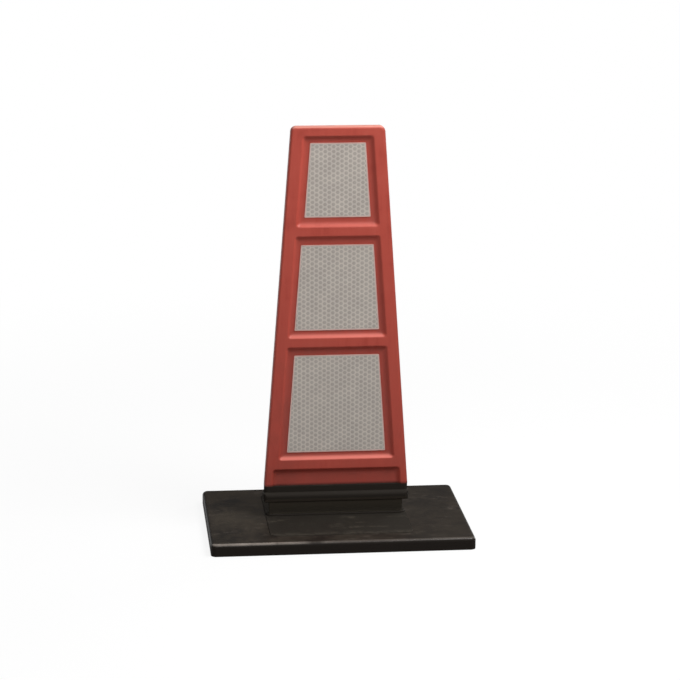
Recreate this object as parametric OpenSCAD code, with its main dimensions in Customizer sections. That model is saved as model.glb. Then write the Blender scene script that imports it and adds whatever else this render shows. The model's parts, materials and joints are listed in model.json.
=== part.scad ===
// Flexible lane divider: a tapered red blade with reflective sheets on both faces, carried by a
// flexible strip on a flat black base that is bonded to the road.
// Millimetres, +Z up, X along the base's long side, the blade's front face towards -Y.
// The origin is the centre of the base's underside.

/* [Base plate] */
// Width of the base along X
base_w = 210; // [170:1:260]
// Depth of the base along Y
base_d = 140; // [124:1:180]
// Thickness of the base
base_t = 10; // [8.5:0.25:16]
// Corner radius of the base seen from above
base_corner_r = 4.5; // [4:0.5:14]
// Rounding of the base's top edge
base_edge_r = 3; // [1:0.25:3.75]
// Width of a keying groove in the underside
groove_w = 3; // [2:0.5:5]
// Depth of a keying groove
groove_depth = 1.2; // [0.5:0.1:2]
// Distance from one keying groove to the next
groove_pitch = 14; // [10:0.5:24]
// Plain rim left round the grooves
groove_rim = 9; // [6:0.5:20]

/* [Hinge foot] */
// Margin of the foot past each end of the root rib
foot_margin = 0.75; // [0.5:0.25:6]
// Depth of the foot along Y
foot_d = 106; // [80:1:112]
// Thickness of the foot
foot_t = 5; // [4.75:0.25:6]
// Height that the foot stands above the base
foot_proud = 0.5; // [0.25:0.25:2]
// Corner radius of the foot seen from above
foot_corner_r = 5; // [2:0.5:10]
// Rounding of the foot's top edge
foot_edge_r = 0.5; // [0.5:0.1:1.5]
// Thickness of the root rib that grips the strip
rib_t = 10; // [9:0.25:11]
// Height of the root rib above the foot
rib_h = 1.5; // [1:0.25:3]
// Rounding of the root rib's top edge
rib_edge_r = 0.8; // [0.2:0.1:1]

/* [Hinge strip] */
// Thickness of the strip where it is gripped
strip_t = 6; // [4.5:0.25:7]
// Depth of the waist on each face of the strip
strip_waist = 0.7; // [0.2:0.1:1.2]
// Free height of the strip between rib and bar
strip_free_h = 10; // [9:0.5:16]
// Depth of the strip's seat in the foot
strip_seat = 4; // [2.5:0.25:4.5]
// Depth of the strip's seat in the bar
strip_grip = 2; // [1:0.25:2.25]
// Distance from the end of the bar to the end of the strip
strip_end = 4.5; // [4:0.5:10]

/* [Socket bar] */
// Reach of the bar's bead past each side of the blade
bar_reach = 0.6; // [0:0.1:4]
// Height of the bar
bar_h = 13.5; // [13:0.5:18]
// Height of the neck between the bead and the blade
bar_neck_h = 4.75; // [3:0.25:5.5]
// Thickness of the bead
bar_t = 15; // [13:0.25:16]
// Thickness of the neck
bar_neck_t = 10; // [9.5:0.25:12]
// Rounding of the bead's lower edges
bar_edge_r = 4.5; // [4:0.25:5]
// Rounding of the bead's upper edges
bar_lip_r = 3.5; // [2:0.25:4]
// Rounding of the upper and lower edges of the bead's ends
bar_end_r = 2.5; // [0.5:0.25:3]
// Corner radius of bead and neck seen from above
bar_corner_r = 3; // [0.5:0.25:4]

/* [Blade] */
// Width of the blade at its foot
blade_foot_w = 116.6; // [105:0.2:130]
// Width of the blade at its top
blade_top_w = 73.8; // [65:0.2:100]
// Thickness of the blade
blade_t = 10; // [9.75:0.25:13]
// Radius of the blade's upper corners
blade_corner_r = 4.5; // [4:0.25:10]
// Rounding of the blade's edges
blade_edge_r = 1.8; // [0.6:0.1:3]
// Thickness of the tongue under the blade
tongue_t = 4; // [3.5:0.1:4.2]
// Diameter of the bulb along the tongue's lower edge
bulb_d = 8; // [7:0.25:8.5]
// Depth of the bulb's centre below the top of the bar
bulb_drop = 6.2; // [5.5:0.1:6.5]
// Distance from the end of the bar to the end of the tongue
tongue_end = 6.5; // [6:0.5:12]
// Diameter of the locking rod inside the bulb
rod_d = 4.6; // [3:0.2:5]
// Length of a plug behind the end of the bar
plug_len = 5; // [3:0.5:6]

/* [Windows] */
// Width of the frame along the blade's sides
stile_w = 9.5; // [7:0.1:12]
// Height of the frame above the top window
top_rail = 7.2; // [5:0.2:14]
// Height of the frame between two windows
cross_rail = 7.4; // [4:0.2:12]
// Height of the frame under the bottom window
bottom_rail = 7.7; // [4:0.1:14]
// Height of the top window
window_top_h = 72.4; // [50:0.2:90]
// Height of the middle window
window_middle_h = 82.8; // [50:0.2:100]
// Height of the bottom window
window_bottom_h = 93.7; // [50:0.1:110]
// Depth of the windows and of the bending band
window_depth = 2.75; // [1.5:0.25:2.75]
// Width of the slope round a window
window_bevel = 2.7; // [1:0.1:4]
// Corner radius of the windows
window_corner_r = 1.6; // [0.6:0.1:4]
// Height of the bending band at the blade's foot
band_h = 14.3; // [8:0.1:20]
// Width of the frame beside the bending band
band_stile = 5.6; // [3:0.1:8]

/* [Reflective sheets] */
// Thickness of a sheet
sheet_t = 0.5; // [0.3:0.1:1]
// Gap between a window's side and the top, middle and bottom sheet
sheet_side_gap = [6.4, 5.4, 6.8]; // [4.5:0.1:10]
// Gap above the top, middle and bottom sheet
sheet_top_gap = [5.7, 7.4, 7.2]; // [4.5:0.1:12]
// Gap below the top, middle and bottom sheet
sheet_bottom_gap = [7.4, 5.9, 5.9]; // [4.5:0.1:12]
// Corner radius of a sheet
sheet_corner_r = 0.8; // [0.3:0.1:3]

/* [Foot fastening] */
// Rim of rubber round the foot's steel plate
plate_rim = 8; // [5:0.5:12]
// Thickness of the foot's steel plate
plate_t = 1.5; // [1:0.25:1.75]
// Distance from the plate's edge to the centre of a screw
screw_edge = 8; // [6:0.5:14]
// Screws along each clamp strip
screw_count = 3; // [2:1:5]
// Diameter of a screw's shank
screw_d = 4; // [3:0.5:4]
// Diameter of a screw's countersunk head
head_d = 8; // [7:0.25:8.5]
// Width of the hexagonal socket in a screw's head
socket_w = 2.5; // [1.5:0.25:2.5]
// Depth of the hexagonal socket
socket_depth = 1.2; // [0.8:0.1:1.6]
// Outside diameter of a threaded bush
bush_d = 7; // [6:0.25:9]
// Height of a threaded bush
bush_h = 3.6; // [2.5:0.1:3.75]
// Width of a clamp strip along Y
clamp_d = 14; // [11:0.5:20]
// Corner radius of a clamp strip
clamp_corner_r = 3.5; // [1:0.25:5]
// Thickness of a clamp strip
clamp_t = 2.5; // [2.25:0.25:3]
// Height of a clamp strip above the road
clamp_lift = 0.4; // [0.2:0.1:1]

/* [Fits] */
// Glue line round a bonded piece
glue_line = 0.1; // [0.05:0.05:0.3]
// Gap round the foot and the plates in their pockets
pocket_gap = 0.15; // [0.1:0.05:0.5]
// Gap round a screw's shank
screw_gap = 0.25; // [0.1:0.05:0.5]
// Gap round the locking rod and its plugs
rod_gap = 0.15; // [0.05:0.05:0.3]

/* [Hidden] */
$fn = 64;

// Overshoot of a cut past the face it opens
cut = 1;
// Straight steps in a rounded corner and in a rounded edge of the blade
corner_steps = 6;
edge_steps = 5;

// Levels, from the road upwards
foot_z = base_t + foot_proud - foot_t;
foot_top_z = foot_z + foot_t;
rib_top_z = foot_top_z + rib_h;
bar_z = rib_top_z + strip_free_h;
bar_top_z = bar_z + bar_h;
bulb_z = bar_top_z - bulb_drop;
blade_h = band_h + bottom_rail + window_bottom_h + window_middle_h + window_top_h + 2 * cross_rail + top_rail;
blade_top_z = bar_top_z + blade_h;
clamp_top_z = clamp_lift + clamp_t;

// Sizes that follow the blade's foot and one another
bar_w = blade_foot_w + 2 * bar_reach;
bead_h = bar_h - bar_neck_h;
strip_w = bar_w - 2 * strip_end;
tongue_w = bar_w - 2 * tongue_end;
rib_w = strip_w + rib_t - strip_t;
foot_w = rib_w + 2 * foot_margin;
rod_bore_d = rod_d + 2 * rod_gap;
plate_w = foot_w - 2 * plate_rim;
plate_d = foot_d - 2 * plate_rim;
screw_x = plate_w / 2 - screw_edge;
screw_y = plate_d / 2 - screw_edge;
clamp_w = 2 * screw_x + clamp_d;
head_h = (head_d - screw_d) / 2;
screw_top_z = foot_z + bush_h;

// Taper of the blade's sides, from upright
taper = atan((blade_foot_w - blade_top_w) / 2 / blade_h);
window_h = [window_top_h, window_middle_h, window_bottom_h];

// Half width of the blade at a height, drawn in from its side edge
function side_x(z, inset) =
    blade_top_w / 2 + (blade_top_z - z) * tan(taper) - inset / cos(taper);

// Top and bottom of a window, counted from the top window down
function window_top(i) = i == 0 ? blade_top_z - top_rail : window_bottom(i - 1) - cross_rail;
function window_bottom(i) = window_top(i) - window_h[i];

// Points of an arc about a centre
function arc(centre, r, from, to) =
    [for (k = [0 : corner_steps]) let (a = from + (to - from) * k / corner_steps)
        centre + r * [cos(a), sin(a)]];

// Outline of a panel whose sides run with the blade's edges, as [x, z] points
function panel(low, high, inset, r) =
    let (x_high = side_x(high - r, inset + r), x_low = side_x(low + r, inset + r))
    concat(
        arc([x_high, high - r], r, taper, 90),
        arc([-x_high, high - r], r, 90, 180 - taper),
        arc([-x_low, low + r], r, 180 - taper, 270),
        arc([x_low, low + r], r, 270, 360 + taper)
    );

// Outline of the whole blade drawn in by an inset, square at the foot
function blade_outline(inset) =
    let (
        z = blade_top_z - blade_corner_r,
        x = side_x(z, blade_corner_r),
        foot_x = side_x(bar_top_z, inset),
        r = blade_corner_r - inset
    )
    concat(
        arc([x, z], r, taper, 90),
        arc([-x, z], r, 90, 180 - taper),
        [[-foot_x, bar_top_z], [foot_x, bar_top_z]]
    );

// An outline of [x, z] points set at a depth along Y
function ring(outline, y) = [for (p = outline) [p[0], y, p[1]]];

// Solid skin over a row of rings, the first ring in front
module skin(rings) {
    n = len(rings[0]);
    last = len(rings) - 1;
    polyhedron(
        points = [for (r = rings) each r],
        faces = concat(
            [[for (j = [n - 1 : -1 : 0]) j]],
            [[for (j = [0 : n - 1]) last * n + j]],
            [for (i = [0 : last - 1]) for (j = [0 : n - 1])
                [i * n + j, i * n + (j + 1) % n, (i + 1) * n + (j + 1) % n, (i + 1) * n + j]]
        )
    );
}

// Rectangle with round corners, centred
module rounded_rect(w, d, r) {
    square([w - 2 * r, d], center = true);
    square([w, d - 2 * r], center = true);
    for (sx = [-1, 1], sy = [-1, 1])
        translate([sx * (w / 2 - r), sy * (d / 2 - r)]) circle(r);
}

// Upright section of width w and height h with rounded upper and lower corners
module section(w, h, r_top, r_low = 0) {
    translate([-w / 2, r_low]) square([w, h - r_top - r_low]);
    translate([-w / 2 + r_top, 0]) square([w - 2 * r_top, h]);
    if (r_low > 0) translate([-w / 2 + r_low, 0]) square([w - 2 * r_low, h / 2]);
    for (s = [-1, 1]) translate([s * (w / 2 - r_top), h - r_top]) circle(r_top);
    if (r_low > 0)
        for (s = [-1, 1]) translate([s * (w / 2 - r_low), r_low]) circle(r_low);
}

// The same section cut at its middle, for turning about Z
module half_section(w, h, r_top) {
    intersection() {
        section(w, h, r_top);
        translate([0, -cut]) square([w, h + 2 * cut]);
    }
}

// A section drawn out along X
module along_x(length) {
    rotate([90, 0, 90]) linear_extrude(length, center = true) children();
}

// Bar along X with a rounded top edge and half-round ends
module pill(w, t, h, edge_r) {
    along_x(w - t) section(t, h, edge_r);
    for (s = [-1, 1])
        translate([s * (w - t) / 2, 0, 0]) rotate_extrude() half_section(t, h, edge_r);
}

// Flat plate with round corners and a rounded top edge
module soft_plate(w, d, t, corner_r, edge_r) {
    along_x(w - 2 * corner_r) section(d, t, edge_r);
    rotate([90, 0, 0]) linear_extrude(d - 2 * corner_r, center = true) section(w, t, edge_r);
    for (sx = [-1, 1], sy = [-1, 1])
        translate([sx * (w / 2 - corner_r), sy * (d / 2 - corner_r), 0])
            rotate_extrude() half_section(2 * corner_r, t, edge_r);
}

// Copies of the children at the screws of one clamp strip, side -1 in front and 1 behind
module at_screws(side) {
    for (i = [0 : screw_count - 1])
        translate([screw_x * (2 * i / (screw_count - 1) - 1), side * screw_y, 0]) children();
}

// Countersunk screw's head and shank, grown by a gap
module screw_body(gap) {
    translate([0, 0, clamp_lift]) cylinder(h = head_h, d1 = head_d + 2 * gap, d2 = screw_d + 2 * gap);
    translate([0, 0, clamp_lift]) cylinder(h = screw_top_z - clamp_lift, d = screw_d + 2 * gap);
}

// Grooves in the underside that key into the adhesive, none of them on a centre line
module keying_grooves() {
    span_x = base_w - 2 * groove_rim;
    span_y = base_d - 2 * groove_rim;
    rows = 2 * floor((span_y - groove_w) / groove_pitch / 2 + 0.5);
    columns = 2 * floor((span_x - groove_w) / groove_pitch / 2 + 0.5);
    for (i = [0 : rows - 1])
        translate([-span_x / 2, (i - (rows - 1) / 2) * groove_pitch - groove_w / 2, -cut])
            cube([span_x, groove_w, groove_depth + cut]);
    for (i = [0 : columns - 1])
        translate([(i - (columns - 1) / 2) * groove_pitch - groove_w / 2, -span_y / 2, -cut])
            cube([groove_w, span_y, groove_depth + cut]);
}

// Base plate: pocket for the foot above, recesses for the clamp strips and keying grooves below
module base_plate() {
    color("#35322e") difference() {
        soft_plate(base_w, base_d, base_t, base_corner_r, base_edge_r);
        translate([0, 0, foot_z]) linear_extrude(foot_t)
            rounded_rect(foot_w + 2 * pocket_gap, foot_d + 2 * pocket_gap, foot_corner_r + pocket_gap);
        for (side = [-1, 1]) {
            at_screws(side) cylinder(h = base_t, d = screw_d + 2 * screw_gap);
            translate([0, side * screw_y, -cut]) linear_extrude(clamp_top_z + cut)
                rounded_rect(clamp_w + 2 * pocket_gap, clamp_d + 2 * pocket_gap, clamp_corner_r + pocket_gap);
        }
        keying_grooves();
    }
}

// Hinge foot: a flange let into the base, with a root rib that grips the strip
module hinge_foot() {
    color("#2a2825") difference() {
        union() {
            translate([0, 0, foot_z]) soft_plate(foot_w, foot_d, foot_t, foot_corner_r, foot_edge_r);
            translate([0, 0, foot_top_z - foot_t / 2])
                pill(rib_w, rib_t, rib_h + foot_t / 2, rib_edge_r);
        }
        translate([0, 0, rib_top_z - strip_seat]) linear_extrude(strip_seat + cut)
            square([strip_w + 2 * glue_line, strip_t + 2 * glue_line], center = true);
        translate([0, 0, foot_z - cut]) linear_extrude(plate_t + cut)
            rounded_rect(plate_w + 2 * glue_line, plate_d + 2 * glue_line, foot_corner_r);
        for (side = [-1, 1])
            at_screws(side) translate([0, 0, foot_z])
                cylinder(h = bush_h + glue_line, d = bush_d + 2 * glue_line);
    }
}

// Steel plate bonded under the foot, drilled for the bushes
module foot_plate() {
    color("silver") difference() {
        translate([0, 0, foot_z]) linear_extrude(plate_t) rounded_rect(plate_w, plate_d, foot_corner_r);
        for (side = [-1, 1])
            at_screws(side) translate([0, 0, foot_z - cut])
                cylinder(h = plate_t + 2 * cut, d = bush_d + 2 * glue_line);
    }
}

// Threaded bushes in the foot, their threads drawn as plain bores
module foot_bushes() {
    color("goldenrod")
        for (side = [-1, 1]) at_screws(side) difference() {
            translate([0, 0, foot_z]) cylinder(h = bush_h, d = bush_d);
            translate([0, 0, foot_z - cut]) cylinder(h = bush_h + 2 * cut, d = screw_d + 2 * glue_line);
        }
}

// Countersunk screws put in from below
module foot_screws() {
    color("gainsboro")
        for (side = [-1, 1]) at_screws(side) difference() {
            screw_body(0);
            translate([0, 0, clamp_lift - cut])
                cylinder(h = socket_depth + cut, d = socket_w / cos(30), $fn = 6);
        }
}

// Steel strip that spreads the load of one row of screws under the base
module clamp_strip(side) {
    color("lightgray") difference() {
        translate([0, side * screw_y, clamp_lift]) linear_extrude(clamp_t)
            rounded_rect(clamp_w, clamp_d, clamp_corner_r);
        at_screws(side) {
            screw_body(glue_line);
            cylinder(h = clamp_top_z + cut, d = screw_d + 2 * screw_gap);
        }
    }
}

// Flexible strip, waisted between the rib and the bar
module hinge_strip() {
    chord = strip_free_h - 2 * strip_waist;
    waist_r = (chord * chord / 4 + strip_waist * strip_waist) / 2 / strip_waist;
    color("#1e1d1b") along_x(strip_w) difference() {
        translate([-strip_t / 2, rib_top_z - strip_seat])
            square([strip_t, strip_seat + strip_free_h + strip_grip]);
        for (s = [-1, 1])
            translate([s * (strip_t / 2 - strip_waist + waist_r), rib_top_z + strip_free_h / 2])
                circle(waist_r, $fn = 128);
    }
}

// Outside of the socket bar: a bead rounded on all sides, with a neck that carries the blade
module bar_body() {
    translate([0, 0, bar_z]) {
        intersection() {
            along_x(bar_w) section(bar_t, bead_h, bar_lip_r, bar_edge_r);
            rotate([90, 0, 0]) linear_extrude(bar_t, center = true)
                section(bar_w, bead_h, bar_end_r, bar_end_r);
            linear_extrude(bead_h) rounded_rect(bar_w, bar_t, bar_corner_r);
        }
        translate([0, 0, bead_h / 2]) linear_extrude(bar_h - bead_h / 2)
            rounded_rect(blade_foot_w, bar_neck_t, bar_corner_r);
    }
}

// Locking rod's axis through the bulb: a round bar along X
module on_rod_axis(length, d) {
    translate([0, 0, bulb_z]) rotate([0, 90, 0]) cylinder(h = length, d = d, center = true);
}

// Socket bar: keyhole slot for the blade's bulb above, groove for the strip below
module socket_bar() {
    color("#242321") difference() {
        bar_body();
        on_rod_axis(tongue_w + 2 * glue_line, bulb_d + 2 * glue_line);
        on_rod_axis(bar_w + 2 * cut, rod_bore_d);
        translate([0, 0, bulb_z]) linear_extrude(bulb_drop + cut)
            square([tongue_w + 2 * glue_line, tongue_t + 2 * glue_line], center = true);
        translate([0, 0, bar_z - cut]) linear_extrude(strip_grip + glue_line + cut)
            square([strip_w + 2 * glue_line, strip_t + 2 * glue_line], center = true);
    }
}

// Cut of a sloping-walled recess in the blade's front face
module recess(low, high, stile) {
    function wall(d) = window_bevel * d / window_depth;
    function at_depth(d) = ring(
        panel(low + wall(d), high - wall(d), stile + wall(d), window_corner_r), d - blade_t / 2
    );
    skin([at_depth(-cut), at_depth(window_depth)]);
}

// Blade: rounded slab, framed windows and bending band on both faces, tongue and hollow bulb below
module blade() {
    front = [for (k = [0 : edge_steps]) let (a = 90 * k / edge_steps)
        [blade_edge_r * (1 - sin(a)), blade_edge_r * (1 - cos(a)) - blade_t / 2]];
    rings = concat(
        [for (k = [0 : edge_steps]) ring(blade_outline(front[k][0]), front[k][1])],
        [for (k = [edge_steps : -1 : 0]) ring(blade_outline(front[k][0]), -front[k][1])]
    );
    color("#b2483e") difference() {
        union() {
            difference() {
                skin(rings);
                for (face = [0, 1]) mirror([0, face, 0]) {
                    for (i = [0 : 2]) recess(window_bottom(i), window_top(i), stile_w);
                    recess(bar_top_z - 2 * window_bevel - cut, bar_top_z + band_h, band_stile);
                }
            }
            translate([0, 0, bulb_z]) linear_extrude(bulb_drop + cut)
                square([tongue_w, tongue_t], center = true);
            on_rod_axis(tongue_w, bulb_d);
        }
        on_rod_axis(bar_w, rod_bore_d);
    }
}

// Rod that keeps the bulb from squeezing out of its socket
module locking_rod() {
    color("khaki") on_rod_axis(bar_w - 2 * plug_len - 2 * rod_gap, rod_d);
}

// Plug that closes one end of the rod's bore, flush with the bar's rounded end
module rod_plug(side) {
    color("#1a1918") intersection() {
        bar_body();
        translate([side * (bar_w - plug_len) / 2, 0, 0]) on_rod_axis(plug_len, rod_d);
    }
}

// Reflective sheet on the floor of a window, face 0 in front and 1 behind
module sheet(face, i) {
    color("#b3aca6") mirror([0, face, 0])
        translate([0, window_depth - blade_t / 2, 0]) rotate([90, 0, 0]) linear_extrude(sheet_t)
            polygon(panel(
                window_bottom(i) + sheet_bottom_gap[i], window_top(i) - sheet_top_gap[i],
                stile_w + sheet_side_gap[i], sheet_corner_r
            ));
}

base_plate();
hinge_foot();
foot_plate();
foot_bushes();
foot_screws();
clamp_strip(-1);  // clamp_strip_front
clamp_strip(1);  // clamp_strip_rear
hinge_strip();
socket_bar();
blade();
locking_rod();
rod_plug(-1);  // rod_plug_left
rod_plug(1);  // rod_plug_right
sheet(0, 0);  // sheet_front_top
sheet(0, 1);  // sheet_front_middle
sheet(0, 2);  // sheet_front_bottom
sheet(1, 0);  // sheet_rear_top
sheet(1, 1);  // sheet_rear_middle
sheet(1, 2);  // sheet_rear_bottom
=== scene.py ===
import json
import math

import bmesh
import bpy
from mathutils import Matrix, Vector


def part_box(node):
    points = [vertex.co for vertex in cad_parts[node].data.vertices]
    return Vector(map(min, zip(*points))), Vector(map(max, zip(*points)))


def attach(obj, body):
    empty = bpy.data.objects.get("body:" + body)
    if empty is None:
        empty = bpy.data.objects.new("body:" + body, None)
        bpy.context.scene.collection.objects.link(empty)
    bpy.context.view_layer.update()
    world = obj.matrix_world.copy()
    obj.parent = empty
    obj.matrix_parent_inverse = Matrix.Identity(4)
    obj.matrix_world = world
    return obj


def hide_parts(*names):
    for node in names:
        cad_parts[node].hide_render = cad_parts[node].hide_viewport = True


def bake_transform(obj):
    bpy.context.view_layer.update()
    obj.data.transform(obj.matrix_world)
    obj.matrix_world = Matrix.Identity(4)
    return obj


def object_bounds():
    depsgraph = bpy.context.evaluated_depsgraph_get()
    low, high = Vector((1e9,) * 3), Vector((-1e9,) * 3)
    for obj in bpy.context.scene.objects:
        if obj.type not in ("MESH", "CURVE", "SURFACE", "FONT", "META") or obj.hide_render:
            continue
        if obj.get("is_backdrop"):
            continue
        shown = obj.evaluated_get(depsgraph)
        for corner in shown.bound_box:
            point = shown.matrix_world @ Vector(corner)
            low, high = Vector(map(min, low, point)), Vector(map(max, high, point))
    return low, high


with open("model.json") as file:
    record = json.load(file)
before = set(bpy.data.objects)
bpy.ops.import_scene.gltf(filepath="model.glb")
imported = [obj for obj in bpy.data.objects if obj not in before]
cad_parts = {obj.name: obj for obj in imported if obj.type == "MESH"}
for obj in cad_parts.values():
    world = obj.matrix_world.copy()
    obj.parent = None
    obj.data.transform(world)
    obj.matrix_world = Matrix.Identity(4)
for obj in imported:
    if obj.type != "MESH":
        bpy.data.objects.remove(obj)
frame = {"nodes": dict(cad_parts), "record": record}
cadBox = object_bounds()
mm = 0.001
scene = bpy.context.scene
print("frame loaded,", len(frame["nodes"]), "nodes")


def nodeBox(name):
    return [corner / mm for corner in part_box(name)]


def paint(red, green, blue):
    # a colour as it looks on screen, given to the shader as linear light
    def linear(level):
        level /= 255
        return level / 12.92 if level <= 0.04045 else ((level + 0.055) / 1.055) ** 2.4
    return linear(red), linear(green), linear(blue), 1.0


class Wire:
    # one shader socket that takes part in Python sums
    def __init__(self, finish, socket):
        self.finish = finish
        self.socket = socket

    def output(self, name):
        return Wire(self.finish, self.socket.node.outputs[name])

    def maths(self, operation, *values):
        return self.finish.node("Math", {"operation": operation}, dict(enumerate(values)))

    def __add__(self, other):
        return self.maths("ADD", self, other)

    def __radd__(self, other):
        return self.maths("ADD", other, self)

    def __sub__(self, other):
        return self.maths("SUBTRACT", self, other)

    def __rsub__(self, other):
        return self.maths("SUBTRACT", other, self)

    def __mul__(self, other):
        return self.maths("MULTIPLY", self, other)

    def __rmul__(self, other):
        return self.maths("MULTIPLY", other, self)

    def __abs__(self):
        return self.maths("ABSOLUTE", self)

    def most(self, other):
        return self.maths("MAXIMUM", self, other)

    def step(self, low, high):
        # 0 at low, 1 at high, smooth between
        smooth = {"interpolation_type": "SMOOTHSTEP"}
        return self.finish.node("MapRange", smooth, {0: self, 1: low, 2: high})


class Finish:
    # the node tree of one material, or of the world
    def __init__(self, owner):
        owner.use_nodes = True
        self.owner = owner
        self.tree = owner.node_tree
        self.shader = self.tree.nodes.get("Principled BSDF")

    def feed(self, socket, value):
        if isinstance(value, Wire):
            self.tree.links.new(value.socket, socket)
        else:
            socket.default_value = value

    def node(self, kind, settings=None, sockets=None, output=0):
        made = self.tree.nodes.new("ShaderNode" + kind)
        for name, value in (settings or {}).items():
            setattr(made, name, value)
        for key, value in (sockets or {}).items():
            self.feed(made.inputs[key], value)
        return Wire(self, made.outputs[output])

    def place(self):
        # millimetres in the piece's own frame
        own = self.node("TexCoord", output="Object")
        return self.node("VectorMath", {"operation": "SCALE"}, {0: own, "Scale": 1 / mm})

    def axes(self, place):
        apart = self.node("SeparateXYZ", {}, {0: place})
        return [apart.output(name) for name in "XYZ"]

    def stretch(self, place, factors):
        return self.node("VectorMath", {"operation": "MULTIPLY"}, {0: place, 1: factors})

    def noise(self, place, scale, detail=3.0, roughness=0.5, bend=0.0):
        return self.node("TexNoise", {}, {
            "Vector": place, "Scale": scale, "Detail": detail, "Roughness": roughness, "Distortion": bend,
        })

    def blend(self, share, first, second):
        return self.node("Mix", {"data_type": "RGBA"}, {0: share, 6: first, 7: second}, 2)

    def bump(self, height, depth, strength, under=None):
        sockets = {"Strength": strength, "Distance": depth * mm, "Height": height}
        if under:
            sockets["Normal"] = under
        return self.node("Bump", {}, sockets)

    def surface(self, **sockets):
        for name, value in sockets.items():
            self.feed(self.shader.inputs[name.replace("_", " ")], value)
        return self.owner


def newFinish(name):
    return Finish(bpy.data.materials.new(name))


redRubber = {
    "deep": paint(162, 62, 50),
    "face": paint(177, 73, 60),
    "pale": paint(186, 86, 73),
    "paleShare": 0.6,
    "faceTones": (0.34, 0.52),
    "paleTones": (0.52, 0.70),
    # darker tone for the foot patches and the right-hand edge; its left-heavy share is painted shade
    "darkerTone": paint(96, 44, 36),
    "footDarkMost": 0.62,  # at the left
    "footDarkLess": 0.34,  # taken off towards the right
    "footDarkHeights": (36, 260),
    "footDarkSides": (-60, -10),
    "footDarkPatches": (0.30, 0.70),
    "edgeShare": 0.3,
    "edgeFacing": (0.1, 0.6),
    "edgeSide": (0, 10),
    "joint": paint(40, 22, 17),
    "jointShare": 0.8,
    "jointHeights": (35.5, 38.0),
    # grey of dirt and painted shade on the recessed floors
    "grimeAndShade": paint(112, 56, 50),
    "grimeAndShadeShare": 0.35,
    "grimeAndShadeDepths": (2.3, 4.6),
    "grimeAndShadeFade": (120, 300),
    "grimeAndShadeFades": 0.6,  # the share that fades
    "grimeAndShadePatches": (0.2, 0.6),
    # painted highlight on the ledges that face up
    "ledgeHighlight": paint(222, 118, 104),
    "ledgeHighlightShare": 0.68,
    "ledgeHighlightRise": (0.2, 0.7),
    "ledgeHighlightHeights": (60, 340),
    # painted highlight on the blade's top
    "crown": paint(210, 140, 126),
    "topHighlightShare": 0.9,
    "topHighlightRise": (0.5, 0.9),
    "topHighlightHeights": (322, 327),
    "cloudScale": 0.05,
    "flowStretch": (0.30, 0.30, 0.035),
    "grainScale": 2.2,
    "poreScale": 9.0,
    "waves": (0.5, 0.35),  # depth and strength
    "dents": (0.06, 0.3),
    "roughness": 0.46,
    "specular": 0.3,
}


def makeRedRubber(look):
    finish = newFinish("mouldedRed")
    place = finish.place()
    x, y, z = finish.axes(place)
    across, _, rise = finish.axes(finish.node("TexCoord", output="Normal"))
    cloud = finish.noise(place, look["cloudScale"], 4)
    flow = finish.noise(finish.stretch(place, look["flowStretch"]), 1, 4)
    grain = finish.noise(place, look["grainScale"], 3)
    tone = 0.5 * cloud + 0.25 * flow + 0.25 * grain
    colour = finish.blend(tone.step(*look["faceTones"]), look["deep"], look["face"])
    colour = finish.blend(tone.step(*look["paleTones"]) * look["paleShare"], colour, look["pale"])
    # patches darker towards the foot; the extra darkening at its left is painted shade
    patches = (0.6 * cloud + 0.4 * grain).step(*look["footDarkPatches"])
    footDark = (1 - z.step(*look["footDarkHeights"])) * patches
    share = look["footDarkMost"] - look["footDarkLess"] * x.step(*look["footDarkSides"])
    colour = finish.blend(footDark * share, colour, look["darkerTone"])
    # the right-hand edge is darker
    edge = across.step(*look["edgeFacing"]) * x.step(*look["edgeSide"])
    colour = finish.blend(edge * look["edgeShare"], colour, look["darkerTone"])
    joint = 1 - z.step(*look["jointHeights"])
    colour = finish.blend(joint * look["jointShare"], colour, look["joint"])
    # a grey film of dirt and painted shade lies in the recesses
    deep = 1 - abs(y).step(*look["grimeAndShadeDepths"])
    deep *= 1 - look["grimeAndShadeFades"] * z.step(*look["grimeAndShadeFade"])
    deep *= (0.5 * cloud + 0.5 * flow).step(*look["grimeAndShadePatches"])
    colour = finish.blend(deep * look["grimeAndShadeShare"], colour, look["grimeAndShade"])
    # ledges that face up carry a painted highlight, the lower ones most
    ledge = rise.step(*look["ledgeHighlightRise"]) * (1 - z.step(*look["ledgeHighlightHeights"]))
    colour = finish.blend(ledge * look["ledgeHighlightShare"], colour, look["ledgeHighlight"])
    # the blade's top carries a painted highlight
    crown = rise.step(*look["topHighlightRise"]) * z.step(*look["topHighlightHeights"])
    colour = finish.blend(crown * look["topHighlightShare"], colour, look["crown"])
    rough = look["roughness"] + 0.16 * (cloud - 0.5) + 0.10 * (grain - 0.5) + 0.1 * footDark
    dents = 0.7 * grain + 0.3 * finish.noise(place, look["poreScale"], 2)
    waves = finish.bump(cloud, *look["waves"])
    skin = finish.bump(dents, *look["dents"], waves)
    return finish.surface(
        Base_Color=colour, Roughness=rough, Normal=skin, Specular_IOR_Level=look["specular"],
    )


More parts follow.
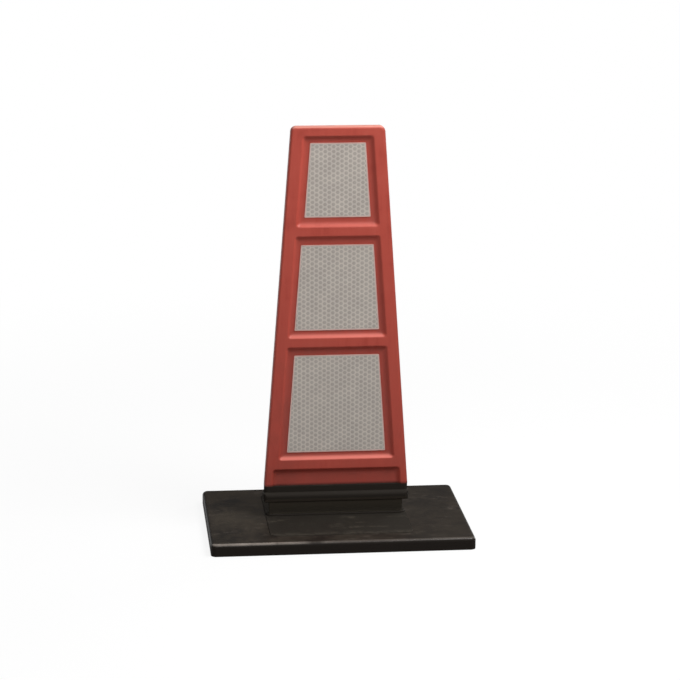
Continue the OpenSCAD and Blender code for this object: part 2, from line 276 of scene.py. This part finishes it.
blackRubber = {
    # underLight is a painted paleness on what faces down, standing in for bounced light
    "base": {
        "bare": paint(32, 28, 25), "dusty": paint(57, 51, 44), "scuffAndGlint": paint(146, 136, 128),
        "underLight": paint(48, 43, 38), "underLightRise": (-0.7, -0.05), "cover": 0.9, "roughness": 0.46,
        "rubAndGlint": 1.0, "worn": 0.0, "scuff": 0.10, "wipe": (0.035, 0.10, 0.10),
    },
    "hinge": {
        "bare": paint(40, 36, 32), "dusty": paint(43, 40, 35), "scuffAndGlint": paint(76, 70, 62),
        "underLight": paint(84, 76, 67), "underLightRise": (-0.7, -0.05), "cover": 0.8, "roughness": 0.75,
        "rubAndGlint": 0.0, "worn": 0.35, "scuff": 0.5, "wipe": (0.03, 0.10, 0.10),
    },
    "strip": {
        "bare": paint(44, 40, 34), "dusty": paint(44, 40, 34), "scuffAndGlint": paint(70, 64, 56),
        "underLight": paint(74, 68, 59), "underLightRise": (-0.3, 0.3), "cover": 0.6, "roughness": 0.75,
        "rubAndGlint": 0.0, "worn": 0.0, "scuff": 0.3, "wipe": (0.03, 0.2, 0.2),
    },
}

trodden = {
    "cloudScale": 0.03,
    "smearScale": 0.12,
    "speckScale": 1.1,
    "poreScale": 4.0,
    "topRise": (0.75, 0.98),
    "dustPatches": (0.36, 0.60),
    "streakEdges": (0.52, 0.72),
    "smearEdges": (0.40, 0.60),
    "edgeStarts": (0.35, 0.8),
    "edgeEnds": (0.98, 0.9999),
    "edgeFacing": (-0.3, -0.02),
    "rubAndGlintSides": (-90, 10),
    "rubAndGlintLeast": 0.2,
    "glintShare": 0.9,
    "rubAndGlintPatches": (0.25, 0.55),
    "dustAndLightSides": (-105, 105),
    "dustAndLightMost": 1.1,  # at the left
    "dustAndLightLess": 0.5,  # taken off towards the right
    "wornDepths": (-51, -45),
    "wornPatches": (0.35, 0.6),
    "uprightRise": (0.0, 0.4),
    "waves": (0.5, 0.3),  # depth and strength
    "dents": (0.08, 0.35),
    "specular": 0.06,
    "coatRoughness": 0.2,
}


def makeBlackRubber(name):
    look = blackRubber[name]
    finish = newFinish(name + "Rubber")
    place = finish.place()
    x, y, _ = finish.axes(place)
    _, back, rise = finish.axes(finish.node("TexCoord", output="Normal"))
    cloud = finish.noise(place, trodden["cloudScale"], 5, 0.6)
    smear = finish.noise(place, trodden["smearScale"], 6, 0.7, 1.0)
    specks = finish.noise(place, trodden["speckScale"], 4, 0.65)
    # dust lies in blotches on what faces up, wiped along the base in pale streaks
    top = rise.step(*trodden["topRise"])
    dust = top * (0.5 * cloud + 0.35 * smear + 0.15 * specks).step(*trodden["dustPatches"])
    streaks = finish.noise(finish.stretch(place, look["wipe"]), 1, 4, 0.6, 0.6)
    scuffs = top * streaks.step(*trodden["streakEdges"]) * smear.step(*trodden["smearEdges"])
    # the front's rounded edge is rubbed glossy and carries a painted highlight, most at its left
    edge = rise.step(*trodden["edgeStarts"]) * (1 - rise.step(*trodden["edgeEnds"]))
    edge *= 1 - back.step(*trodden["edgeFacing"])
    least = trodden["rubAndGlintLeast"]
    left = 1 - x.step(*trodden["rubAndGlintSides"])
    edge *= (least + (1 - least) * left) * cloud.step(*trodden["rubAndGlintPatches"])
    rubbedAndGlint = look["rubAndGlint"] * edge
    # what faces down is painted paler, standing in for light bounced up from below
    colour = finish.blend(rise.step(*look["underLightRise"]), look["underLight"], look["bare"])
    # the dust is laid paler at the left as painted light, making up for the lamp's fall-off across the
    # base
    cover = look["cover"] * (trodden["dustAndLightMost"] - trodden["dustAndLightLess"] * x.step(*trodden["dustAndLightSides"]))
    colour = finish.blend(dust * cover, colour, look["dusty"])
    # the foot's front border is worn paler
    worn = look["worn"] * (1 - y.step(*trodden["wornDepths"])) * smear.step(*trodden["wornPatches"])
    # the pale colour is real scuffing and wear, and a painted highlight on the rubbed edge
    pale = (look["scuff"] * scuffs).most(trodden["glintShare"] * rubbedAndGlint).most(worn)
    colour = finish.blend(pale, colour, look["scuffAndGlint"])
    # upright faces are matter than the trodden top
    upright = 1 - rise.step(*trodden["uprightRise"])
    rough = look["roughness"] + 0.20 * (dust - 0.5) + 0.10 * (specks - 0.5) + 0.3 * upright
    pores = finish.noise(place, trodden["poreScale"], 3)
    waves = finish.bump(cloud, *trodden["waves"])
    skin = finish.bump(0.6 * specks + 0.4 * pores, *trodden["dents"], waves)
    return finish.surface(
        Base_Color=colour, Roughness=rough, Normal=skin, Specular_IOR_Level=trodden["specular"],
        Coat_Weight=rubbedAndGlint if look["rubAndGlint"] else 0.0, Coat_Roughness=trodden["coatRoughness"],
    )


film = {
    "cell": (paint(157, 150, 143), paint(167, 160, 152)),
    "seal": (paint(182, 173, 165), paint(192, 183, 174)),
    "rim": (paint(190, 156, 148), paint(206, 172, 164)),
    "patchScale": 0.11,
    "beadScale": 6.0,
    "weaveScale": 3.0,
    "tones": (0.35, 0.65),
    "cellRoughness": 0.34,
    "sealRoughness": 0.42,
    "beads": (0.03, 0.4),  # depth and strength
    "weave": (0.03, 0.3),
}


def makeFilmCell(look):
    finish = newFinish("filmCell")
    place = finish.place()
    patch = finish.noise(place, look["patchScale"], 3)
    beads = finish.noise(place, look["beadScale"], 2)
    tone = (0.6 * patch + 0.4 * beads).step(*look["tones"])
    return finish.surface(
        Base_Color=finish.blend(tone, *look["cell"]),
        Roughness=look["cellRoughness"] + 0.14 * (beads - 0.5),
        Normal=finish.bump(beads, *look["beads"]),
        Coat_Weight=0.25, Coat_Roughness=0.2,
    )


def makeFilmSeal(look, name):
    finish = newFinish("film" + name.title())
    place = finish.place()
    patch = finish.noise(place, look["patchScale"], 3)
    weave = finish.noise(place, look["weaveScale"], 3)
    tone = (0.6 * patch + 0.4 * weave).step(*look["tones"])
    return finish.surface(
        Base_Color=finish.blend(tone, *look[name]),
        Roughness=look["sealRoughness"] + 0.1 * (weave - 0.5),
        Normal=finish.bump(weave, *look["weave"]),
        Coat_Weight=0.2, Coat_Roughness=0.25,
    )


metal = {
    "zinc": {
        "bright": paint(196, 197, 192), "dull": paint(150, 150, 142), "roughness": 0.38, "metallic": 0.95,
    },
    "brass": {
        "bright": paint(212, 178, 108), "dull": paint(160, 124, 66), "roughness": 0.32, "metallic": 1.0,
    },
}
brushing = {"cloudScale": 0.25, "stretch": (0.12, 3.0, 3.0), "tones": (0.35, 0.65), "lines": (0.02, 0.3)}


def makeMetal(name):
    look = metal[name]
    finish = newFinish(name + "Metal")
    place = finish.place()
    cloud = finish.noise(place, brushing["cloudScale"], 4)
    brushed = finish.noise(finish.stretch(place, brushing["stretch"]), 1, 3)
    tone = (0.5 * cloud + 0.5 * brushed).step(*brushing["tones"])
    return finish.surface(
        Base_Color=finish.blend(tone, look["dull"], look["bright"]),
        Roughness=look["roughness"] + 0.2 * (brushed - 0.5), Metallic=look["metallic"],
        Normal=finish.bump(brushed, *brushing["lines"]),
    )


glassFibre = {
    "resin": paint(206, 196, 158),
    "strand": paint(226, 220, 196),
    "stretch": (0.02, 2.5, 2.5),
    "tones": (0.4, 0.6),
    "ridges": (0.03, 0.4),  # depth and strength
    "roughness": 0.4,
}


def makeGlassFibre(look):
    finish = newFinish("glassFibre")
    strands = finish.noise(finish.stretch(finish.place(), look["stretch"]), 1, 4)
    return finish.surface(
        Base_Color=finish.blend(strands.step(*look["tones"]), look["resin"], look["strand"]),
        Roughness=look["roughness"] + 0.2 * (strands - 0.5), Normal=finish.bump(strands, *look["ridges"]),
    )


finishes = {
    "base_rubber": makeBlackRubber("base"),
    "hinge_rubber": makeBlackRubber("hinge"),
    "strip_rubber": makeBlackRubber("strip"),
    "blade_rubber": makeRedRubber(redRubber),
    "reflective_sheet": makeFilmSeal(film, "seal"),
    "steel": makeMetal("zinc"),
    "bush_brass": makeMetal("brass"),
    "rod_plastic": makeGlassFibre(glassFibre),
}
filmCell = makeFilmCell(film)
filmRim = makeFilmSeal(film, "rim")
for part in frame["record"]["subparts"]:
    solid = frame["nodes"][part["node"]]
    solid.data.materials.clear()
    solid.data.materials.append(finishes[part["material_slot"]])
print("finishes made,", len(finishes) + 2)


def span(start, end, steps):
    return [start + (end - start) * k / steps for k in range(steps + 1)]


def arc(centre, radius, start, end, steps):
    x, y = centre
    return [(x + radius * math.cos(a), y + radius * math.sin(a)) for a in span(start, end, steps)]


def addRow(bm, points):
    return [bm.verts.new(Vector(p) * mm) for p in points]


def joinRows(bm, first, second, closed, slot=0):
    count = len(first)
    for j in range(count if closed else count - 1):
        k = (j + 1) % count
        bm.faces.new((first[j], first[k], second[k], second[j])).material_index = slot


def fillPlane(bm, axis, level):
    # fills the open edges that lie in one plane, holes left open
    edges = [
        edge for edge in bm.edges
        if len(edge.link_faces) < 2 and all(abs(v.co[axis] - level * mm) < 1e-7 for v in edge.verts)
    ]
    bmesh.ops.triangle_fill(bm, use_beauty=True, edges=edges)


def makePiece(name, bm, materials, sharp=38):
    bmesh.ops.recalc_face_normals(bm, faces=bm.faces)
    mesh = bpy.data.meshes.new(name)
    bm.to_mesh(mesh)
    bm.free()
    for material in materials:
        mesh.materials.append(material)
    mesh.shade_smooth()
    mesh.set_sharp_from_angle(angle=math.radians(sharp))
    piece = bpy.data.objects.new(name, mesh)
    scene.collection.objects.link(piece)
    even = piece.modifiers.new("evenNormals", "WEIGHTED_NORMAL")
    even.keep_sharp = True
    return piece


bladeForm = {
    "topWidth": 73.8,
    "cornerRadius": 4.5,
    "edgeRadius": 1.8,
    "seamHeight": 0.12,
    "seamWidth": 0.5,
    "stile": 9.5,
    "topRail": 7.2,
    "crossRail": 7.4,
    "windowHeights": (72.4, 82.8, 93.7),
    "windowDepth": 2.75,
    "slope": 2.7,
    "mouthRound": 1.8,
    "floorRound": 4.5,
    "mouthCorner": 2.6,
    "floorCorner": 1.2,
    "bandHeight": 14.3,
    "bandStile": 5.6,
    "tongueEnd": 6.5,
    "tongueThickness": 4.0,
    "bulbDiameter": 8.0,
    "boreDiameter": 4.9,
    "steps": 8,
}
bladeLow, bladeHigh = nodeBox("blade")
barLow, barHigh = nodeBox("socket_bar")
footZ, topZ, halfThick = barHigh.z, bladeHigh.z, bladeHigh.y
taper = math.atan((bladeHigh.x - bladeForm["topWidth"] / 2) / (topZ - footZ))


def sideX(z, inset):
    return bladeForm["topWidth"] / 2 + (topZ - z) * math.tan(taper) - inset / math.cos(taper)


def panelOutline(low, high, inset, radius):
    # rounded panel whose sides run with the blade's edges
    steps, turn = bladeForm["steps"], math.pi
    right = sideX(high - radius, inset + radius)
    wide = sideX(low + radius, inset + radius)
    return (
        arc((right, high - radius), radius, taper, turn / 2, steps)
        + arc((-right, high - radius), radius, turn / 2, turn - taper, steps)
        + arc((-wide, low + radius), radius, turn - taper, turn * 1.5, steps)
        + arc((wide, low + radius), radius, turn * 1.5, turn * 2 + taper, steps)
    )


def hoodOutline(high, inset, radius):
    # the same panel left open at the blade's foot
    top = panelOutline(footZ - radius, high, inset, radius)[: 2 * bladeForm["steps"] + 2]
    return [(sideX(footZ, inset), footZ)] + top + [(-sideX(footZ, inset), footZ)]


def wallProfile(form):
    # (inward, depth) pairs across a window's wall, rounded at the mouth and at the floor
    slope, depth = form["slope"], form["windowDepth"]
    pitch = math.atan2(depth, slope)
    mouth, floor = form["mouthRound"], form["floorRound"]
    outer, inner = mouth * math.tan(pitch / 2), floor * math.tan(pitch / 2)
    angles = span(0, pitch, form["steps"])
    top = [(-outer + mouth * math.sin(a), mouth * (1 - math.cos(a))) for a in angles]
    foot = [(slope + inner - floor * math.sin(a), depth - floor * (1 - math.cos(a))) for a in angles]
    return top + foot[::-1]


def windowSpans(form):
    high = topZ - form["topRail"]
    for height in form["windowHeights"]:
        yield high - height, high
        high -= height + form["crossRail"]


def addFace(bm, form, face):
    # windows and bending band of one face, -1 in front and 1 behind
    def row(outline, depth):
        return addRow(bm, [(x, face * (halfThick - depth), z) for x, z in outline])

    profile = wallProfile(form)
    drop = (form["mouthCorner"] - form["floorCorner"]) / form["slope"]
    corners = [max(form["floorCorner"], form["mouthCorner"] - drop * inward) for inward, _ in profile]
    for low, high in windowSpans(form):
        rows = [
            row(panelOutline(low + u, high - u, form["stile"] + u, r), d)
            for (u, d), r in zip(profile, corners)
        ]
        for first, second in zip(rows, rows[1:]):
            joinRows(bm, first, second, True)
        bm.faces.new(rows[-1])
    rows = [
        row(hoodOutline(footZ + form["bandHeight"] - u, form["bandStile"] + u, r), d)
        for (u, d), r in zip(profile, corners)
    ]
    for first, second in zip(rows, rows[1:]):
        joinRows(bm, first, second, False)
    bm.faces.new(rows[-1])
    return rows[0]


def addTongue(bm, form):
    # tongue and hollow bulb that sit in the socket bar
    half = barHigh.x - form["tongueEnd"]
    thick, radius = form["tongueThickness"] / 2, form["bulbDiameter"] / 2
    centre = bladeLow.z + radius
    meet = math.asin(thick / radius)
    turns = span(meet, 2 * math.pi - meet, 4 * form["steps"])
    section = [(thick, footZ)] + [(radius * math.sin(a), centre + radius * math.cos(a)) for a in turns]
    section.append((-thick, footZ))
    bore = arc((0, centre), form["boreDiameter"] / 2, 0, 2 * math.pi, 4 * form["steps"])[:-1]
    ends = []
    for x in (-half, half):
        outer = addRow(bm, [(x, *p) for p in section])
        inner = addRow(bm, [(x, *p) for p in bore])
        ends.append((outer, inner))
    for first, second, closed in zip(*ends, (False, True)):
        joinRows(bm, first, second, closed)
    for side, (outer, _) in zip((-half, half), ends):
        bm.edges.new((outer[0], outer[-1]))
        fillPlane(bm, 0, side)


def makeBlade(form):
    bm = bmesh.new()
    edge, steps = form["edgeRadius"], form["steps"]
    rounding = [(edge * (1 - math.sin(a)), edge * (1 - math.cos(a))) for a in span(0, math.pi / 2, steps)]
    front = [(inset, depth - halfThick) for inset, depth in rounding]
    seam = form["seamWidth"] / 2
    ridge = [(0, -seam), (-form["seamHeight"], 0), (0, seam)]
    levels = front + ridge + [(inset, -y) for inset, y in reversed(front)]
    rows = []
    for inset, y in levels:
        outline = hoodOutline(topZ - inset, inset, form["cornerRadius"] - inset)
        rows.append(addRow(bm, [(x, y, z) for x, z in outline]))
    for first, second in zip(rows, rows[1:]):
        joinRows(bm, first, second, False)
    for face, slab in ((-1, rows[0]), (1, rows[-1])):
        band = addFace(bm, form, face)
        for end in (0, -1):
            bm.edges.new((slab[end], band[end]))
        fillPlane(bm, 1, face * halfThick)
    addTongue(bm, form)
    fillPlane(bm, 2, footZ)
    return makePiece("bladeMoulding", bm, [finishes["blade_rubber"]])


blade = makeBlade(bladeForm)
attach(blade, "blade")
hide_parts("blade")
print("blade moulded,", len(blade.data.polygons), "faces")


filmForm = {
    "insets": {"top": 15.9, "middle": 14.9, "bottom": 16.3},
    "rim": 0.8,
    "cellPitch": 3.83,
    "sealDrop": 0.1,
    "sealWidth": 1.15,
    "shoulder": 0.3,
    "leastCell": 1.2,
    "tinyArea": 1e-4,
    "closeBy": 1e-3,
    "cornerSteps": 5,
}


def clipped(polygon, point, inward):
    # the part of a convex polygon on the inner side of a line
    def depth(p):
        return (p[0] - point[0]) * inward[0] + (p[1] - point[1]) * inward[1]
    kept = []
    for here, after in zip(polygon, polygon[1:] + polygon[:1]):
        a, b = depth(here), depth(after)
        if a >= 0:
            kept.append(here)
        if (a > 0 > b) or (a < 0 < b):
            kept.append(tuple(h + (n - h) * a / (a - b) for h, n in zip(here, after)))
    return kept


def areaOf(polygon):
    return sum(a[0] * b[1] - b[0] * a[1] for a, b in zip(polygon, polygon[1:] + polygon[:1])) / 2


def shrunk(polygon, border):
    # drawn in towards the middle, so that a whole cell loses border on each side
    middle = [sum(p[k] for p in polygon) / len(polygon) for k in (0, 1)]
    share = 1 - border / (filmForm["cellPitch"] / 2)
    return [tuple(m + (c - m) * share for c, m in zip(p, middle)) for p in polygon]


def honeycomb(low, high, reach):
    # flat-topped hexagons in columns, the odd columns half a pitch lower
    pitch = filmForm["cellPitch"]
    apart = pitch * math.cos(math.pi / 6)
    columns, rows = math.ceil(reach / apart) + 1, math.ceil((high - low) / pitch) + 1
    for i in range(-columns, columns + 1):
        for j in range(-1, rows + 1):
            centre = (i * apart, low + (j + 0.5 * (i % 2)) * pitch)
            yield arc(centre, pitch / math.sqrt(3), 0, 2 * math.pi, 6)[:-1]


def makeFilm(name, node, face, sideInset):
    form = filmForm
    boxLow, boxHigh = nodeBox(node)
    floor = min(abs(boxLow.y), abs(boxHigh.y))
    thick = max(abs(boxLow.y), abs(boxHigh.y)) - floor
    low, high = boxLow.z + form["rim"], boxHigh.z - form["rim"]
    inset = sideInset + form["rim"]
    corners = [(sideX(z, inset) * s, z) for z, s in ((low, -1), (low, 1), (high, 1), (high, -1))]
    outward = [(0, -1), (math.cos(taper), math.sin(taper)), (0, 1), (-math.cos(taper), math.sin(taper))]
    bm = bmesh.new()
    known = {}

    def vert(point, height):
        key = (round(point[0], 4), round(point[1], 4), height)
        if key not in known:
            known[key] = bm.verts.new(Vector((-face * point[0], face * (floor + height), point[1])) * mm)
        return known[key]

    def addRing(verts, slot):
        ring = list(dict.fromkeys(verts))
        if len(ring) > 2:
            bm.faces.new(ring).material_index = slot

    def addPatch(points, height, slot):
        addRing([vert(p, height) for p in points], slot)

    sealed = thick - form["sealDrop"]
    for cell in honeycomb(low, high, corners[1][0]):
        for corner, normal in zip(corners, outward):
            cell = clipped(cell, corner, (-normal[0], -normal[1])) if cell else cell
        if len(cell) < 3 or areaOf(cell) < form["tinyArea"]:
            continue
        if areaOf(cell) < form["leastCell"]:
            addPatch(cell, sealed, 0)
            continue
        edge = shrunk(cell, form["sealWidth"] / 2)
        crown = shrunk(cell, form["sealWidth"] / 2 + form["shoulder"])
        bands = ((cell, edge, sealed, 0), (edge, crown, thick, 1))
        for outer, inner, innerLevel, slot in bands:
            for k in range(len(cell)):
                quad = [vert(outer[k - 1], sealed), vert(outer[k], sealed)]
                quad += [vert(inner[k], innerLevel), vert(inner[k - 1], innerLevel)]
                addRing(quad, slot)
        addPatch(crown, thick, 1)
    # the sealed rim, as wide as the corner's radius
    along = [(normal[1] * -1, normal[0]) for normal in outward]
    flat = [(x, z) for x, z, height in known if height == sealed]
    for k, (corner, normal) in enumerate(zip(corners, outward)):
        row = [
            p for p in flat
            if abs((p[0] - corner[0]) * normal[0] + (p[1] - corner[1]) * normal[1]) < form["closeBy"]
        ]
        row.sort(key=lambda p: p[0] * along[k][0] + p[1] * along[k][1])
        moved = [(p[0] + normal[0] * form["rim"], p[1] + normal[1] * form["rim"]) for p in row]
        for a, b, c, d in zip(row, row[1:], moved[1:], moved):
            addPatch((a, b, c, d), sealed, 2)
        start = math.atan2(outward[k - 1][1], outward[k - 1][0])
        turn = (math.atan2(normal[1], normal[0]) - start) % (2 * math.pi)
        rounded = arc(corner, form["rim"], start, start + turn, form["cornerSteps"])
        for a, b in zip(rounded, rounded[1:]):
            addPatch((corner, a, b), sealed, 2)
    # the film's cut edge, down to the window's floor
    cutEdges = [edge.verts[:] for edge in bm.edges if len(edge.link_faces) == 1]
    lower = {}
    for v in (v for pair in cutEdges for v in pair):
        if v not in lower:
            lower[v] = bm.verts.new((v.co.x, face * floor * mm, v.co.z))
    for a, b in cutEdges:
        bm.faces.new((a, b, lower[b], lower[a])).material_index = 2
    fillPlane(bm, 1, face * floor)
    return makePiece(name, bm, [finishes["reflective_sheet"], filmCell, filmRim])


for side, face in (("front", -1), ("rear", 1)):
    for level in ("top", "middle", "bottom"):
        node = f"sheet_{side}_{level}"
        sheet = makeFilm("film" + side.title() + level.title(), node, face, filmForm["insets"][level])
        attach(sheet, "blade")
        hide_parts(node)
        print(sheet.name, "cut,", len(sheet.data.polygons), "faces")


stripForm = {"waist": 0.7, "endRound": 0.9, "rows": 28, "cornerSteps": 5}
stripLow, stripHigh = nodeBox("hinge_strip")
ribTop, barFoot = nodeBox("hinge_foot")[1].z, barLow.z


def makeStrip(form):
    bm = bmesh.new()
    half, thick = stripHigh.x, stripHigh.y
    free = barFoot - ribTop
    chord = free - 2 * form["waist"]
    radius = (chord * chord / 4 + form["waist"] ** 2) / 2 / form["waist"]

    def thickness(z):
        # waisted by an arc between the rib and the bar
        away = abs(z - (ribTop + barFoot) / 2)
        return thick - max(0.0, math.sqrt(max(radius ** 2 - away ** 2, 0)) - (radius - form["waist"]))

    levels = [stripLow.z] + span(ribTop, barFoot, form["rows"]) + [stripHigh.z]
    rows = []
    for z in levels:
        t, r, turn = thickness(z), form["endRound"], math.pi / 2
        outline = []
        for k, (sx, sy) in enumerate(((1, 1), (-1, 1), (-1, -1), (1, -1))):
            corner = (sx * (half - r), sy * (t - r))
            outline += arc(corner, r, k * turn, (k + 1) * turn, form["cornerSteps"])
        rows.append(addRow(bm, [(x, y, z) for x, y in outline]))
    for first, second in zip(rows, rows[1:]):
        joinRows(bm, first, second, True)
    bm.faces.new(rows[0])
    bm.faces.new(rows[-1])
    return makePiece("bendingStrip", bm, [finishes["strip_rubber"]])


strip = makeStrip(stripForm)
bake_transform(strip)
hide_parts("hinge_strip")
print("strip made,", len(strip.data.polygons), "faces")


cameraPlace = {
    "lens": 126.685,
    "position": (-0.19517, -1.84341, 0.62984),
    "yaw": 6.130,
    "pitch": 14.349,
    "roll": 0.382,
}


def addCamera(place):
    data = bpy.data.cameras.new("photoCamera")
    data.lens = place["lens"]
    camera = bpy.data.objects.new("photoCamera", data)
    scene.collection.objects.link(camera)
    yaw, pitch, roll = (math.radians(place[name]) for name in ("yaw", "pitch", "roll"))
    turn = Matrix.Rotation(-yaw, 4, "Z") @ Matrix.Rotation(math.pi / 2 - pitch, 4, "X")
    camera.matrix_world = Matrix.Translation(place["position"]) @ turn @ Matrix.Rotation(roll, 4, "Z")
    scene.camera = camera


softboxes = {
    "overhead": {"place": (0.40, -0.28, 0.86), "size": 0.45, "power": 7.6},
    "front": {"place": (-0.3, -1.9, 1.0), "size": 0.9, "power": 10},
    "rear": {"place": (1.7, 1.4, 0.45), "size": 0.9, "power": 20},
}
aimPoint = Vector((0, 0, 0.15))


def addSoftbox(name, box):
    data = bpy.data.lights.new(name, "AREA")
    data.size = box["size"]
    data.energy = box["power"]
    lamp = bpy.data.objects.new(name, data)
    lamp.location = box["place"]
    lamp.rotation_euler = (aimPoint - lamp.location).to_track_quat("-Z", "Y").to_euler()
    scene.collection.objects.link(lamp)


studio = {
    "floorReach": 40.0,
    "bounce": paint(122, 121, 119),
    "shown": paint(243, 243, 243),
    "glow": 0.86,
    "glowReach": (0.15, 0.9),
    "skyLow": 0.08,
    "skyHigh": 0.5,
    "skyHeights": (0.0, 0.9),
    "floorDrop": 0.2,
}


def addFloor(look):
    bm = bmesh.new()
    bmesh.ops.create_grid(bm, x_segments=6, y_segments=6, size=look["floorReach"])
    mesh = bpy.data.meshes.new("studioFloor")
    bm.to_mesh(mesh)
    bm.free()
    floor = bpy.data.objects.new("studioFloor", mesh)
    floor.location.z = -look["floorDrop"] * mm
    scene.collection.objects.link(floor)
    finish = newFinish("studioFloor")
    rays = finish.node("LightPath")
    seen = rays.output("Is Camera Ray").most(rays.output("Is Glossy Ray"))
    seen = seen.most(rays.output("Is Transmission Ray"))
    matt = finish.node("BsdfDiffuse", {}, {"Color": finish.blend(seen, look["bounce"], look["shown"])})
    white = finish.node("Emission", {}, {"Color": (1, 1, 1, 1), "Strength": 1.0})
    away = finish.node("VectorMath", {"operation": "LENGTH"}, {0: finish.place()}, "Value") * mm
    glow = look["glow"] + (1 - look["glow"]) * away.step(*look["glowReach"])
    shown = finish.node("MixShader", {}, {0: seen * glow, 1: matt, 2: white})
    finish.feed(finish.tree.nodes["Material Output"].inputs["Surface"], shown)
    mesh.materials.append(finish.owner)
    floor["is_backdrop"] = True


def addSky(look):
    scene.world = bpy.data.worlds.new("studioSky")
    finish = Finish(scene.world)
    height = finish.axes(finish.node("TexCoord", output="Generated"))[2]
    level = look["skyLow"] + (look["skyHigh"] - look["skyLow"]) * height.step(*look["skyHeights"])
    light = finish.node("Background", {}, {"Color": (1, 1, 1, 1), "Strength": level})
    finish.feed(finish.tree.nodes["World Output"].inputs["Surface"], light)


addCamera(cameraPlace)
for name, box in softboxes.items():
    addSoftbox(name, box)
addFloor(studio)
addSky(studio)
scene.view_settings.view_transform = "Standard"
print("studio set")

sizes = {"cad": cadBox, "visual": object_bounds()}
{name: [list(corner) for corner in box] for name, box in sizes.items()}
